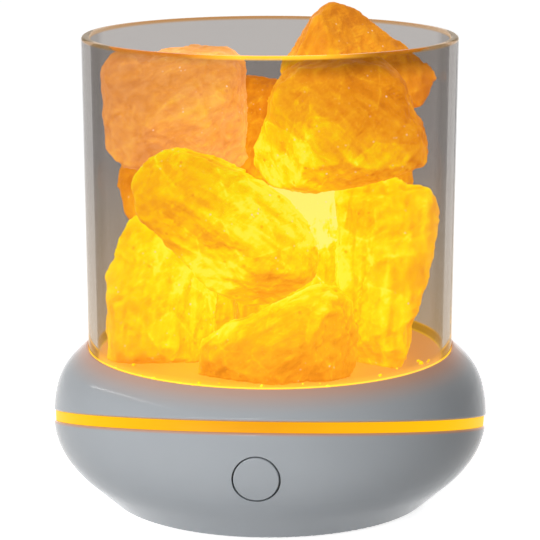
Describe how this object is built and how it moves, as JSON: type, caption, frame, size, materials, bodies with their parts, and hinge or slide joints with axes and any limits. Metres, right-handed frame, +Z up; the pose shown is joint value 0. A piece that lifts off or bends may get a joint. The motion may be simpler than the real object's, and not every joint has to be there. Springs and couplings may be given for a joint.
{
  "type": "salt night light",
  "caption": "Small table lamp: rough glowing salt stones stand in a clear open tube on a round white base with a tilted slot of light and a push button at the front.",
  "frame": {"origin": "on the table, under the middle of the round base", "axes": "+Z up along the tube's axis, -Y towards the push button, +X to the right seen from the button"},
  "size_m": [0.095, 0.095, 0.1079],
  "materials": {
    "shell_plastic": "gloss",
    "glow_plastic": "frosted, lit from inside",
    "floor_plastic": "milky, lit from below",
    "clear_plastic": "clear, faintly smoke tinted",
    "board_laminate": "satin",
    "led_package": "gloss",
    "chip_plastic": "matte",
    "screw_steel": "plain",
    "foot_rubber": "matte",
    "salt": "cloudy crystal, lit from below"
  },
  "bodies": {
    "lamp": {"upper_shell": "shell_plastic", "lower_shell": "shell_plastic", "light_ring": "glow_plastic", "floor_diffuser": "floor_plastic", "clear_tube": "clear_plastic", "main_board": "board_laminate", "leds": "led_package", "control_chip": "chip_plastic", "chip_resistors": "chip_plastic", "tact_switch": "chip_plastic", "usb_contacts": "chip_plastic", "board_screws": "screw_steel", "shell_screws": "screw_steel", "usb_socket": "screw_steel", "rubber_feet": "foot_rubber", "salt_top_left": "salt", "salt_top_right": "salt", "salt_peak": "salt", "salt_front": "salt", "salt_lower_left": "salt", "salt_lower_front": "salt", "salt_lower_right": "salt", "salt_core": "salt", "salt_mid_left": "salt", "salt_low_back_left": "salt", "salt_mid_right": "salt", "salt_low_back_right": "salt", "salt_upper_back": "salt", "salt_back_left": "salt"},
    "button": {"button_cap": "shell_plastic", "switch_plunger": "chip_plastic"}
  },
  "joints": [
    {"name": "button_press", "type": "slide", "parent": "lamp", "child": "button", "axis": [0, 1, 0], "range_m": [0, 0.0005], "stiffness_N_per_m": 1500, "springref_m": -0.0002}
  ]
}
